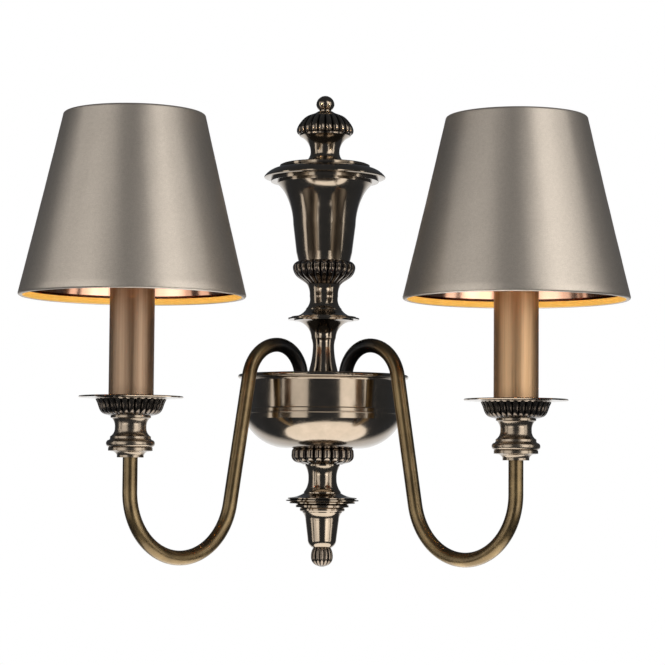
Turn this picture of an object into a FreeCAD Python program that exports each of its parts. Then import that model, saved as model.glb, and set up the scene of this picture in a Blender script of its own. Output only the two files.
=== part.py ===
# Double arm wall sconce: a turned column and dish on a wall bracket, two swan-neck arms,
# and a candle with a clip-on tapered shade at the end of each arm.
# Millimetres, +Z up. The origin is the middle of the wall bracket's back face and -Y faces the room.

import FreeCAD
import Part

import math
import os

import Sketcher

Vector = FreeCAD.Vector
up = Vector(0, 0, 1)
outOfWall = Vector(0, -1, 0)

doc = FreeCAD.newDocument("sconce")
sheet = doc.addObject("Spreadsheet::Sheet", "Sizes")


# ---------------------------------------------------------------- sizes

class Size:
    """A length in millimetres together with the sheet expression that gives it."""

    def __init__(self, value, text):
        self.value = value
        self.text = text

    def __add__(self, other):
        other = asSize(other)
        return Size(self.value + other.value, f"({self.text} + {other.text})")

    def __sub__(self, other):
        other = asSize(other)
        return Size(self.value - other.value, f"({self.text} - {other.text})")

    def __mul__(self, other):
        other = asSize(other)
        return Size(self.value * other.value, f"({self.text} * {other.text})")

    def __truediv__(self, other):
        other = asSize(other)
        return Size(self.value / other.value, f"({self.text} / {other.text})")

    def __neg__(self):
        return Size(-self.value, f"(0 - {self.text})")

    def __radd__(self, other):
        return asSize(other) + self

    def __rsub__(self, other):
        return asSize(other) - self

    def __rmul__(self, other):
        return asSize(other) * self


def asSize(number):
    return number if isinstance(number, Size) else Size(float(number), f"{number:.6f}")


def sine(angle):
    return Size(math.sin(math.radians(angle.value)), f"sin({angle.text} * 1 deg)")


def cosine(angle):
    return Size(math.cos(math.radians(angle.value)), f"cos({angle.text} * 1 deg)")


def root(number):
    return Size(math.sqrt(number.value), f"sqrt({number.text})")


generalSizes = {
    "rod_radius": 3,            # tie rod through the whole column
    "bore_clearance": 0.1,      # radial, every rod, tube and screw in its hole
    "fit_gap": 0.1,             # between pieces that are set side by side
}

# Turned column, each piece standing on the one below it.
columnSizes = {
    "baluster_height": 28.1, "baluster_foot": 11.2, "baluster_waist": 7.7, "baluster_head": 8.8,
    "baluster_plinth": 1.4,
    "disc_height": 20.4, "disc_edge": 25.7, "disc_edge_thickness": 1.1, "disc_top": 13.2,
    "disc_ledge": 23.4, "disc_ledge_thickness": 0.9, "disc_under": 21.6, "disc_under_thickness": 0.8,
    "neck_height": 18.5, "neck_foot": 13, "neck_waist": 10.3, "neck_head": 12.2, "neck_plinth": 0.8,
    "cup_height": 16.5, "cup_foot": 12.1, "cup_radius": 22.6, "cup_head": 19.5, "cup_reed": 1.8,
    "cup_reeds": 24,
    "urn_height": 58.1, "urn_foot": 18.6, "urn_waist": 22.6, "urn_throat": 27, "urn_lip": 34.4,
    "urn_wall": 3, "urn_floor": 5,
    "cover_height": 12.6, "cover_base": 39.1, "cover_brim": 43.9, "cover_step": 32.6, "cover_arris": 1.4,
    "spool_height": 20.8, "spool_foot": 16.6, "spool_waist": 10.5, "spool_head": 18.4, "spool_plinth": 1.2,
    "dome_height": 18, "dome_radius": 20.6, "dome_lip": 18.4, "dome_lip_thickness": 1.2, "dome_reed": 1.8,
    "dome_reeds": 22,
    "ball_height": 11.6, "ball_radius": 6.6, "ball_neck": 4.3, "ball_neck_height": 1, "ball_bore_depth": 6,
}

dishSizes = {
    "band_base": -5.2,          # height of the band's foot above the origin
    "band_height": 25.6, "band_radius": 54.8, "band_wall": 1.2,
    "lip_overhang": 1.4,        # the band's foot, rolled rim and bowl stand out from the band by these
    "lip_height": 2.2, "lip_fillet": 0.8,
    "bead_overhang": 6.6, "bead_radius": 1.6, "flare_drop": 3.2, "flare_wall": 0.4, "flare_tuck": 0.6,
    "bowl_overhang": 2, "bowl_height": 25.8, "bowl_boss": 20, "bowl_sag": 0.4, "bowl_rim": 1.2, "bowl_wall": 1.2,
    "lid_overlap": 0.9, "lid_thickness": 2,
    "wall_gap": 0.4,            # the dish's cut edges stand this far off the wall
}

# Pendant, each piece hanging under the one above it.
pendantSizes = {
    "collar_height": 11.4, "collar_radius": 22.6, "collar_foot": 14.2, "collar_head": 21, "collar_reed": 2.3,
    "collar_reeds": 20,
    "pendant_spool_height": 20.6, "pendant_spool_foot": 13.4, "pendant_spool_waist": 10.2,
    "pendant_spool_head": 12.4, "pendant_spool_plinth": 0.8,
    "stepped_height": 13, "stepped_rim": 26.2, "stepped_ledge": 19.1, "stepped_foot": 16.2,
    "stepped_setback": 1.3, "stepped_groove": 3.2,
    "urnlet_height": 26.1, "urnlet_foot": 6.6, "urnlet_belly": 10.3, "urnlet_waist": 12, "urnlet_head": 14.2,
    "drop_height": 13.4, "drop_radius": 8, "drop_neck": 6.4, "drop_reed": 1.2, "drop_bore_depth": 5,
    "drop_reeds": 14,
}

# Swan-neck arm: up out of the dish lid, over the rim, down outside it and round to the candle.
armSizes = {
    "arm_splay": 43.5,          # degrees forward of the wall's own direction
    "tube_radius": 5, "tube_bore": 4,
    "arm_root": 21.75,          # from the column axis to the upright inner leg
    "arm_foot_height": 4,       # height of the inner leg's lower end
    "arch_top": 41.8, "arch_inner": 22.7,
    "rim_gap": 5.6,             # from the dish's rolled rim to the leg that passes it
    "arm_lean": 10.5,           # degrees that the outer leg leans away from upright
    "leg_length": 90.9, "bow_radius": 44.6, "riser_length": 28.8,
    "arm_nut_height": 4.5, "arm_nut_radius": 7.8, "lock_ring_height": 1.2,
    "lead_radius": 2,
}

candleSizes = {
    "arm_seat": 6,              # depth of the arm's end in the cup base
    "base_height": 27.7, "base_foot": 8.9, "base_step": 14.8, "base_ring": 16.2,
    "base_neck": 10.5, "base_head": 13.4, "base_plinth": 1.5, "base_groove": 0.6,
    "nest_height": 10.8, "nest_foot": 14, "nest_radius": 23.6, "nest_reed": 1.4, "nest_reeds": 30,
    "pan_height": 2.2, "pan_radius": 35, "pan_sheet": 1.1, "pan_flare": 3, "pan_edge": 0.5,
    "sleeve_radius": 15, "sleeve_wall": 1, "sleeve_height": 99.5, "sleeve_arris": 0.3,
    "stem_bore": 3.5, "stem_nut_height": 4.5, "stem_nut_radius": 8.5,
    "holder_radius": 13, "holder_height": 46, "holder_inset": 2, "holder_seat": 4, "holder_arris": 1,
    "socket_radius": 7, "socket_depth": 24,
    "cap_play": 0.1, "cap_height": 25.7, "cap_tip": 2.5, "cap_tip_height": 3, "cap_floor_gap": 0.3,
    "glass_neck": 6.9, "glass_girth": 17.5, "glass_girth_height": 33, "glass_height": 81, "glass_tip": 1.5,
    "glass_wall": 1,
}

shadeSizes = {
    "headroom": 8.5,            # from the bulb's tip to the shade's upper edge
    "shade_height": 123, "shade_foot": 76, "shade_head": 47.9,
    "shade_wall": 0.8, "roll_radius": 1.7, "roll_tail": 3,
    "lining_wall": 0.3, "lining_gap": 0.05, "lining_inset": 0.3,
    "clip_wire": 0.8, "clip_bar": 1, "clip_half_width": 7, "clip_gap": 0.3, "clip_drop": 5, "clip_shoulder": 30,
    "clip_top_bend": 12, "clip_side_bend": 20, "clip_foot_bend": 3,
    "clip_lean": 2.2, "clip_toe": 0.5, "clip_toe_drop": 2,
}

fixingSizes = {
    "plate_half_width": 26.5, "plate_foot": -13, "plate_head": 16, "plate_thickness": 2.5,
    "plate_side_gap": 4.8,      # from the plate's side to the inside of the dish, which is cut off at the wall
    "screw_pitch": 40, "screw_hole": 2.25, "cable_hole": 5, "cable_hole_height": 8.5,
    "shelf_height": -12, "shelf_thickness": 2.5, "shelf_gap": 1.6, "shelf_width": 12,
    "ear_half_width": 5, "ear_height": 22,
    "side_screw_radius": 2, "side_screw_head": 3.5, "side_screw_head_height": 2, "side_screw_length": 8,
    "side_screw_height": 4,
    "block_width": 30, "block_depth": 17, "block_height": 12, "block_ways": 3,
    "block_screw_radius": 1.8, "block_screw_depth": 3,
    "earth_screw_radius": 2, "earth_head_radius": 3.8, "earth_head_height": 2.2, "earth_offset": 15,
    "earth_margin": 1.8, "washer_overhang": 0.8, "washer_thickness": 1,
    "rod_nut_radius": 5.8, "rod_nut_height": 5,
}

S = {}
for table in (generalSizes, columnSizes, dishSizes, pendantSizes, armSizes, candleSizes, shadeSizes, fixingSizes):
    for name, value in table.items():
        line = len(S) + 1
        sheet.set(f"A{line}", name)
        sheet.set(f"B{line}", str(value))
        sheet.setAlias(f"B{line}", name)
        S[name] = Size(float(value), f"Sizes.{name}")

doc.recompute()


# ---------------------------------------------------------------- tools for building

def bind(item, prop, size):
    """Give a property its size and tie it to the sheet."""
    size = asSize(size)
    item.setExpression(prop, size.text)


def place(item, x, y, z):
    bind(item, "Placement.Base.x", x)
    bind(item, "Placement.Base.y", y)
    bind(item, "Placement.Base.z", z)


def bulge(share):
    """A round stretch whose height is this share of its chord: above zero turns left, below zero right."""
    return ("bulge", share)


def bend(radius, turn):
    """A round stretch of this radius, under a half circle: turn is 1 to the left and -1 to the right."""
    return ("bend", radius, turn)


def stretches(points, closed):
    """Split an outline of (x, y) or (x, y, round) into starts, ends, radii and turns."""
    count = len(points) if closed else len(points) - 1
    for index in range(count):
        first = points[index]
        last = points[(index + 1) % len(points)]
        radius = None
        turn = 0
        if len(first) == 3:
            curve = first[2]
            if curve[0] == "bend":
                radius, turn = curve[1], curve[2]
            else:
                share = abs(curve[1])
                across = asSize(last[0]) - first[0]
                along = asSize(last[1]) - first[1]
                radius = root(across * across + along * along) * ((0.25 + share * share) / (2 * share))
                turn = 1 if curve[1] > 0 else -1
        yield asSize(first[0]), asSize(first[1]), asSize(last[0]), asSize(last[1]), radius, turn


def arcBetween(x0, y0, x1, y1, radius, turn):
    """Centre and end angles of the arc from one point to the next, in plain numbers."""
    half = math.hypot(x1 - x0, y1 - y0) / 2
    offset = math.sqrt(max(radius * radius - half * half, 0)) * turn
    cx = (x0 + x1) / 2 - (y1 - y0) / (2 * half) * offset
    cy = (y0 + y1) / 2 + (x1 - x0) / (2 * half) * offset
    start = math.atan2(y0 - cy, x0 - cx)
    end = math.atan2(y1 - cy, x1 - cx)
    return (cx, cy, start, end) if turn > 0 else (cx, cy, end, start)


def trace(sketch, points, closed=True):
    """Draw an outline in a sketch and fix each of its points and radii to the sheet."""
    flat = Vector(0, 0, 1)
    first = sketch.GeometryCount
    starts = []
    for x0, y0, x1, y1, radius, turn in stretches(points, closed):
        if radius is None:
            line = Part.LineSegment(Vector(x0.value, y0.value, 0), Vector(x1.value, y1.value, 0))
            geo = sketch.addGeometry(line, False)
            starts.append((geo, 1, 2, x0, y0, x1, y1))
            continue
        cx, cy, low, high = arcBetween(x0.value, y0.value, x1.value, y1.value, radius.value, turn)
        circle = Part.Circle(Vector(cx, cy, 0), flat, radius.value)
        geo = sketch.addGeometry(Part.ArcOfCircle(circle, low, high), False)
        here, there = (1, 2) if turn > 0 else (2, 1)
        starts.append((geo, here, there, x0, y0, x1, y1))
        key = sketch.addConstraint(Sketcher.Constraint("Radius", geo, radius.value))
        sketch.setExpression(f"Constraints[{key}]", radius.text)
    joints = len(starts) if closed else len(starts) - 1
    for index in range(joints):
        geo, _, there = starts[index][:3]
        following = starts[(index + 1) % len(starts)]
        sketch.addConstraint(Sketcher.Constraint("Coincident", geo, there, following[0], following[1]))
    for geo, here, _, x, y, _, _ in starts:
        pin(sketch, geo, here, x, y)
    if not closed:
        geo, _, there, _, _, x, y = starts[-1]
        pin(sketch, geo, there, x, y)
    return range(first, sketch.GeometryCount)


def pin(sketch, geo, end, x, y):
    """Hold a point of a sketch at x, y from the sketch's origin."""
    for name, size, axis in (("DistanceX", x, -2), ("DistanceY", y, -1)):
        if size.value == 0 and "Sizes" not in size.text:
            sketch.addConstraint(Sketcher.Constraint("PointOnObject", geo, end, axis))
            continue
        key = sketch.addConstraint(Sketcher.Constraint(name, -1, 1, geo, end, size.value))
        sketch.setExpression(f"Constraints[{key}]", size.text)


def newBody(name):
    body = doc.addObject("PartDesign::Body", name)
    body.Label = name
    return body


def newSketch(body, name, role, rise=None):
    """A sketch on one of the body's origin planes, or on a plane raised above it."""
    sketch = body.newObject("Sketcher::SketchObject", name)
    plane = [item for item in body.Origin.OriginFeatures if item.Role == role][0]
    sketch.AttachmentSupport = [(plane, "")]
    sketch.MapMode = "FlatFace"
    if rise is not None:
        bind(sketch, "AttachmentOffset.Base.z", rise)
    return sketch


def turn(name, outline):
    """A turned piece: its outline from the rod bore, up the outside and back, spun about Z."""
    body = newBody(name)
    sketch = newSketch(body, f"{name}_outline", "XZ_Plane")
    trace(sketch, outline)
    spin = body.newObject("PartDesign::Revolution", f"{name}_spin")
    spin.Profile = sketch
    spin.ReferenceAxis = (sketch, ["V_Axis"])
    spin.Angle = 360
    return body


def pocketThrough(body, sketch, name, reach):
    """Cut a sketch's shapes through the body, both ways from its plane."""
    doc.recompute()
    before = body.Shape.Volume
    pocket = body.newObject("PartDesign::Pocket", name)
    pocket.Profile = sketch
    pocket.SideType = "Symmetric"
    bind(pocket, "Length", reach)
    doc.recompute()
    if body.Shape.Volume >= before:
        raise RuntimeError(f"{name} cuts nothing")


def mix(low, high, share):
    """The size that lies this share of the way from one size to another."""
    return low + (high - low) * share


smoothDegree = 3                # of the reeds' surfaces from foot to head
past = 1                        # how far a cutting tool runs past the surface that it opens


def reedRing(radius, depth, height, count, turned):
    """A closed ring of round lobes that meet in valleys, level at one height."""
    step = 2 * math.pi / count
    arcs = []
    for index in range(count):
        corners = []
        for share, reach in ((-0.5, radius - depth), (0, radius), (0.5, radius - depth)):
            angle = (index + share + turned) * step
            corners.append(Vector(reach * math.cos(angle), reach * math.sin(angle), height))
        arcs.append(Part.Arc(*corners).toShape())
    return Part.Wire(arcs)


def reeded(levels, reeds, turned=0):
    """A casting whose reeds run through rings at (height, radius, depth), turned by a share of a reed."""
    rings = []
    for height, radius, depth in levels:
        rings.append(reedRing(radius.value, depth.value, height.value, round(reeds.value), turned))
    return Part.makeLoft(rings, True, False, False, smoothDegree)


def bored(shape, radius, low, high):
    """The same casting with a hole along its axis from one height to another."""
    return shape.cut(Part.makeCylinder(radius.value, high - low, Vector(0, 0, low)))


def feature(name, shape, x, y, z):
    """A piece whose shape comes from functions, placed by the sheet."""
    item = doc.addObject("Part::Feature", name)
    item.Label = name
    item.Shape = shape
    place(item, x, y, z)
    return item


def cylinder(name, radius, height, x, y, z, axis=up):
    item = doc.addObject("Part::Cylinder", name)
    bind(item, "Radius", radius)
    bind(item, "Height", height)
    item.Placement.Rotation = FreeCAD.Rotation(up, axis)
    place(item, x, y, z)
    return item


def box(name, x, y, z, width, depth, height):
    item = doc.addObject("Part::Box", name)
    bind(item, "Length", width)
    bind(item, "Width", depth)
    bind(item, "Height", height)
    place(item, x, y, z)
    return item


def hexagon(name, radius, height, x, y, z):
    item = doc.addObject("Part::Prism", name)
    item.Polygon = 6
    bind(item, "Circumradius", radius)
    bind(item, "Height", height)
    place(item, x, y, z)
    return item


def fuse(name, items):
    item = doc.addObject("Part::MultiFuse", name)
    item.Label = name
    item.Shapes = items
    return item


def group(name, items):
    """Like pieces that share a node and stay separate solids."""
    item = doc.addObject("Part::Compound", name)
    item.Label = name
    item.Links = items
    return item


def cut(name, base, tool):
    item = doc.addObject("Part::Cut", name)
    item.Label = name
    item.Base = base
    item.Tool = tool
    return item


def roundedPath(points, radii):
    """Straight runs through points, joined by tangent arcs of the given radii at the inner points."""
    edges = []
    last = points[0]
    for corner, before, after, radius in zip(points[1:-1], points, points[2:], radii):
        inward = (before - corner).normalize()
        onward = (after - corner).normalize()
        half = inward.getAngle(onward) / 2
        setback = radius / math.tan(half)
        entry = corner + inward * setback
        leave = corner + onward * setback
        middle = (inward + onward).normalize()
        crest = corner + middle * (radius / math.sin(half) - radius)
        edges.append(Part.LineSegment(last, entry).toShape())
        edges.append(Part.Arc(entry, crest, leave).toShape())
        last = leave
    edges.append(Part.LineSegment(last, points[-1]).toShape())
    return edges


def tube(edges, radius):
    """A round wire or lead along edges that follow one another smoothly."""
    path = Part.Wire(edges)
    start = edges[0].Vertexes[0].Point
    heading = edges[0].tangentAt(edges[0].FirstParameter)
    ring = Part.Wire(Part.Circle(start, heading, radius).toShape())
    return path.makePipeShell([ring], True, False)


boreRadius = S["rod_radius"] + S["bore_clearance"]
bandInner = S["band_radius"] - S["band_wall"]
plateReach = S["plate_half_width"] + S["plate_side_gap"]
axisDepth = S["plate_thickness"] + root(bandInner * bandInner - plateReach * plateReach)
axisY = -axisDepth
nodes = []


def keep(item):
    nodes.append(item)
    return item


def onAxis(item, height):
    """Stand a piece on the column axis at a height."""
    place(item, 0, axisY, height)
    return keep(item)


# ---------------------------------------------------------------- dish

bandBase = S["band_base"]
bowlBase = bandBase - S["bowl_height"]
bandLip = S["band_radius"] + S["lip_overhang"]
beadReach = S["band_radius"] + S["bead_overhang"]
beadCentre = beadReach - S["bead_radius"]
bead = S["bead_radius"]
rimHeight = S["band_height"]
flareFoot = rimHeight - S["flare_drop"]
flareInside = flareFoot + S["flare_wall"]
flareReach = beadCentre - bead * 0.9
flareTop = rimHeight + bead * 0.43
flareSlope = (flareTop - flareInside) / (flareReach - bandInner)

bandOutline = [
    (bandInner, 0), (bandLip, 0), (bandLip, S["lip_height"], bulge(-0.18)),
    (S["band_radius"], S["lip_height"] + S["lip_fillet"]), (S["band_radius"], flareFoot, bulge(-0.16)),
    (beadCentre - S["flare_tuck"], rimHeight - bead * 0.9), (beadCentre, rimHeight - bead, bend(bead, 1)),
    (beadReach, rimHeight, bend(bead, 1)), (beadCentre, rimHeight + bead, bend(bead, 1)),
    (flareReach, flareTop), (bandInner, flareInside),
]
bowlRadius = S["band_radius"] + S["bowl_overhang"]
bowlInner = bowlRadius - S["bowl_wall"]
bowlFlat = bowlRadius * 0.52
bowlSide = S["bowl_height"] * 0.81
bowlFloor = S["bowl_wall"] * 2
bowlRound = 0.132
bowlOutline = [
    (boreRadius, 0), (S["bowl_boss"], 0), (bowlFlat, S["bowl_sag"], bulge(bowlRound)), (bowlRadius, bowlSide),
    (bowlRadius, S["bowl_height"] - S["bowl_rim"], bulge(0.4)), (bowlRadius, S["bowl_height"]),
    (bowlInner, S["bowl_height"]), (bowlInner, bowlSide, bulge(-bowlRound)),
    (bowlFlat, S["bowl_sag"] + S["bowl_wall"]), (S["bowl_boss"], bowlFloor), (boreRadius, bowlFloor),
]
lidRadius = bandInner + S["lid_overlap"]
lidBase = bandBase + flareInside + S["lid_overlap"] * flareSlope + S["fit_gap"]
lidTop = lidBase + S["lid_thickness"]
lidOutline = [
    (boreRadius, 0), (lidRadius, 0), (lidRadius, S["lid_thickness"]), (boreRadius, S["lid_thickness"]),
]


def wallCut(body):
    """Cut a dish piece flat where it meets the wall."""
    sketch = newSketch(body, f"{body.Name}_wall", "XY_Plane")
    edge = axisDepth - S["wall_gap"]
    reach = beadReach * 1.5
    trace(sketch, [(-reach, edge), (reach, edge), (reach, edge + reach), (-reach, edge + reach)])
    pocketThrough(body, sketch, f"{body.Name}_flat", reach * 4)


dishBand = turn("dish_band", bandOutline)
wallCut(dishBand)
sideHoles = newSketch(dishBand, "dish_band_side_holes", "YZ_Plane")
hole = sideHoles.addGeometry(Part.Circle(Vector(0, 0, 0), Vector(0, 0, 1), 2), False)
sideHoleHeight = S["side_screw_height"] - bandBase
sideHoleRadius = S["side_screw_radius"] + S["bore_clearance"]
pin(sideHoles, hole, 3, asSize(0), sideHoleHeight)
radiusKey = sideHoles.addConstraint(Sketcher.Constraint("Radius", hole, sideHoleRadius.value))
sideHoles.setExpression(f"Constraints[{radiusKey}]", sideHoleRadius.text)
pocketThrough(dishBand, sideHoles, "dish_band_side_drill", beadReach * 4)
onAxis(dishBand, bandBase)

dishBowl = turn("dish_bowl", bowlOutline)
wallCut(dishBowl)
onAxis(dishBowl, bowlBase)

lid = turn("dish_lid", lidOutline)
wallCut(lid)
armHoles = newSketch(lid, "dish_lid_arm_holes", "XY_Plane")
armX = S["arm_root"] * cosine(S["arm_splay"])
armY = S["arm_root"] * sine(S["arm_splay"])
holeRadius = S["tube_radius"] + S["bore_clearance"]
for side in (-1, 1):
    hole = armHoles.addGeometry(Part.Circle(Vector(side * armX.value, -armY.value, 0), up, holeRadius.value))
    pin(armHoles, hole, 3, side * armX, -armY)
    key = armHoles.addConstraint(Sketcher.Constraint("Radius", hole, holeRadius.value))
    armHoles.setExpression(f"Constraints[{key}]", holeRadius.text)
pocketThrough(lid, armHoles, "dish_lid_arm_drill", beadReach * 4)
onAxis(lid, lidBase)


# ---------------------------------------------------------------- column

def columnPiece(name, outline, base):
    return onAxis(turn(name, outline), base)


level = lidTop
height = S["baluster_height"]
columnPiece("baluster", [
    (boreRadius, 0), (S["baluster_foot"], 0), (S["baluster_foot"], S["baluster_plinth"]),
    (mix(S["baluster_waist"], S["baluster_foot"], 0.63), height * 0.24, bulge(-0.03)),
    (S["baluster_waist"], height * 0.77, bulge(-0.05)), (S["baluster_head"], height), (boreRadius, height),
], level)

level = level + height
height = S["disc_height"]
edgeBase = height * 0.66
edgeTop = edgeBase + S["disc_edge_thickness"]
ledgeTop = edgeTop + S["disc_ledge_thickness"]
columnPiece("sharp_disc", [
    (boreRadius, 0), (S["baluster_head"], 0, bulge(-0.2)),
    (S["disc_under"], edgeBase - S["disc_under_thickness"]), (S["disc_under"], edgeBase),
    (S["disc_edge"], edgeBase), (S["disc_edge"], edgeTop),
    (S["disc_ledge"], edgeTop), (S["disc_ledge"], ledgeTop, bulge(-0.12)),
    (S["disc_top"], height), (boreRadius, height),
], level)

level = level + height
height = S["neck_height"]
columnPiece("neck_spool", [
    (boreRadius, 0), (S["neck_foot"], 0), (S["neck_foot"], S["neck_plinth"], bulge(-0.13)),
    (S["neck_waist"], height * 0.54, bulge(-0.08)), (S["neck_head"], height), (boreRadius, height),
], level)

level = level + height
height = S["cup_height"]
reed = S["cup_reed"]
cup = reeded([
    (height * 0, S["cup_foot"], reed * 0.3),
    (height * 0.13, mix(S["cup_foot"], S["cup_radius"], 0.24), reed * 0.5),
    (height * 0.27, mix(S["cup_foot"], S["cup_radius"], 0.58), reed * 0.8),
    (height * 0.40, mix(S["cup_foot"], S["cup_radius"], 0.80), reed * 0.95),
    (height * 0.58, mix(S["cup_foot"], S["cup_radius"], 0.95), reed),
    (height * 0.76, S["cup_radius"], reed),
    (height * 0.90, mix(S["cup_head"], S["cup_radius"], 0.75), reed * 0.8),
    (height * 1, S["cup_head"], reed * 0.4),
], S["cup_reeds"])
keep(feature("gadrooned_cup", bored(cup, boreRadius, -past, height.value + past), 0, axisY, level))

level = level + height
height = S["urn_height"]
wall = S["urn_wall"]
columnPiece("urn_body", [
    (boreRadius, 0), (S["urn_foot"], 0), (mix(S["urn_foot"], S["urn_waist"], 0.38), height * 0.11),
    (S["urn_waist"], height * 0.46, bulge(-0.05)), (S["urn_throat"], height * 0.8, bulge(-0.06)),
    (S["urn_lip"], height * 0.975), (S["urn_lip"], height), (S["urn_lip"] - wall, height, bulge(0.06)),
    (S["urn_throat"] - wall, height * 0.8, bulge(0.05)), (S["urn_waist"] - wall, height * 0.46),
    (S["urn_foot"] - wall * 0.7, S["urn_floor"]), (boreRadius, S["urn_floor"]),
], level)

level = level + height
height = S["cover_height"]
arris = S["cover_arris"]
columnPiece("urn_cover", [
    (boreRadius, 0), (S["cover_base"], 0), (S["cover_base"], height * 0.17),
    (S["cover_brim"] - arris, height * 0.19), (S["cover_brim"], height * 0.23),
    (S["cover_brim"], height * 0.29, bulge(0.12)),
    (S["cover_step"] - arris, height * 0.79), (S["cover_step"], height * 0.82),
    (S["cover_step"], height * 0.95), (S["cover_step"] - arris, height), (boreRadius, height),
], level)

level = level + height
height = S["spool_height"]
columnPiece("upper_spool", [
    (boreRadius, 0), (S["spool_foot"], 0), (S["spool_foot"], S["spool_plinth"], bulge(-0.18)),
    (S["spool_waist"], height * 0.47, bulge(-0.15)), (S["spool_head"], height), (boreRadius, height),
], level)

level = level + height
height = S["dome_height"]
dome = S["dome_radius"]
reed = S["dome_reed"]
reedFoot = S["dome_lip_thickness"]
domeReeds = reeded([
    (reedFoot, dome * 0.935, reed * 0.7),
    (mix(reedFoot, height, 0.06), dome * 0.98, reed * 0.9),
    (mix(reedFoot, height, 0.17), dome, reed),
    (mix(reedFoot, height, 0.30), dome * 0.98, reed),
    (mix(reedFoot, height, 0.45), dome * 0.917, reed * 0.95),
    (mix(reedFoot, height, 0.66), dome * 0.78, reed * 0.85),
    (mix(reedFoot, height, 0.86), dome * 0.505, reed * 0.5),
    (height, dome * 0.27, reed * 0.2),
], S["dome_reeds"])
domeLip = Part.makeCylinder(S["dome_lip"].value, reedFoot.value)
domeSolid = bored(domeReeds.fuse(domeLip), boreRadius, -past, height.value + past)
keep(feature("gadrooned_dome", domeSolid, 0, axisY, level))

level = level + height
height = S["ball_height"]
ball = S["ball_radius"]
columnPiece("ball_finial", [
    (boreRadius, 0), (S["ball_neck"], 0), (S["ball_neck"], S["ball_neck_height"], bulge(0.1)),
    (ball, height - ball, bend(ball, 1)), (0, height), (0, S["ball_bore_depth"]),
    (boreRadius, S["ball_bore_depth"]),
], level)
rodTop = level + S["ball_bore_depth"] - S["fit_gap"]


# ---------------------------------------------------------------- pendant

height = S["collar_height"]
level = bowlBase - height
reed = S["collar_reed"]
collar = reeded([
    (height * 0, S["collar_foot"], reed * 0.3),
    (height * 0.11, mix(S["collar_foot"], S["collar_radius"], 0.5), reed * 0.6),
    (height * 0.24, mix(S["collar_foot"], S["collar_radius"], 0.83), reed * 0.9),
    (height * 0.42, mix(S["collar_foot"], S["collar_radius"], 0.98), reed),
    (height * 0.65, S["collar_radius"], reed),
    (height * 0.88, mix(S["collar_head"], S["collar_radius"], 0.8), reed * 0.95),
    (height * 1, S["collar_head"], reed * 0.75),
], S["collar_reeds"], 0.5)
keep(feature("gadrooned_collar", bored(collar, boreRadius, -past, height.value + past), 0, axisY, level))

height = S["pendant_spool_height"]
level = level - height
columnPiece("pendant_spool", [
    (boreRadius, 0), (S["pendant_spool_foot"], 0),
    (S["pendant_spool_foot"], S["pendant_spool_plinth"], bulge(-0.09)),
    (S["pendant_spool_waist"], height * 0.5, bulge(-0.07)), (S["pendant_spool_head"], height * 0.95),
    (S["pendant_spool_head"], height), (boreRadius, height),
], level)

height = S["stepped_height"]
level = level - height
rim = S["stepped_rim"]
ledge = S["stepped_ledge"]
setback = S["stepped_setback"]
groove = rim - S["stepped_groove"]
columnPiece("stepped_disc", [
    (boreRadius, 0), (S["stepped_foot"] - setback * 0.5, 0), (S["stepped_foot"], height * 0.05),
    (S["stepped_foot"], height * 0.15), (S["stepped_foot"] - setback * 0.5, height * 0.2),
    (ledge, height * 0.23), (ledge, height * 0.34), (ledge - setback, height * 0.39),
    (rim - setback * 2, height * 0.44), (rim - setback * 2, height * 0.5), (groove, height * 0.54),
    (rim, height * 0.57), (rim, height * 0.63), (groove, height * 0.66),
    (rim - setback, height * 0.69), (rim - setback, height * 0.74), (groove, height * 0.77, bulge(-0.06)),
    (S["pendant_spool_foot"], height), (boreRadius, height),
], level)

height = S["urnlet_height"]
level = level - height
columnPiece("pendant_urn", [
    (boreRadius, 0), (S["urnlet_foot"], 0, bulge(0.14)), (S["urnlet_belly"], height * 0.23),
    (S["urnlet_waist"], height * 0.76, bulge(-0.09)), (S["urnlet_head"], height * 0.97),
    (S["urnlet_head"], height), (boreRadius, height),
], level)

height = S["drop_height"]
level = level - height
drop = S["drop_radius"]
reed = S["drop_reed"]
dropBore = height - S["drop_bore_depth"]
reededBall = reeded([
    (height * 0, drop * 0.16, reed * 0.1),
    (height * 0.05, drop * 0.42, reed * 0.35),
    (height * 0.16, drop * 0.74, reed * 0.75),
    (height * 0.33, drop * 0.94, reed),
    (height * 0.55, drop, reed),
    (height * 0.78, drop * 0.955, reed),
    (height * 0.93, drop * 0.86, reed * 0.7),
    (height * 1, S["drop_neck"], reed * 0.4),
], S["drop_reeds"], 0.5)
keep(feature("reeded_ball", bored(reededBall, boreRadius, dropBore.value, height.value + past), 0, axisY, level))
rodFoot = level + dropBore + S["fit_gap"]

keep(cylinder("centre_rod", S["rod_radius"], rodTop - rodFoot, 0, axisY, rodFoot))

nutBases = {"lid_nut": lidBase - S["rod_nut_height"], "bowl_nut": bowlBase + bowlFloor}
rodNuts = []
for name, base in nutBases.items():
    blank = hexagon(f"{name}_blank", S["rod_nut_radius"], S["rod_nut_height"], 0, axisY, base)
    core = cylinder(f"{name}_core", boreRadius, S["rod_nut_height"], 0, axisY, base)
    rodNuts.append(cut(name, blank, core))
keep(group("rod_nuts", rodNuts))


# ---------------------------------------------------------------- wall bracket and wiring

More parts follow.
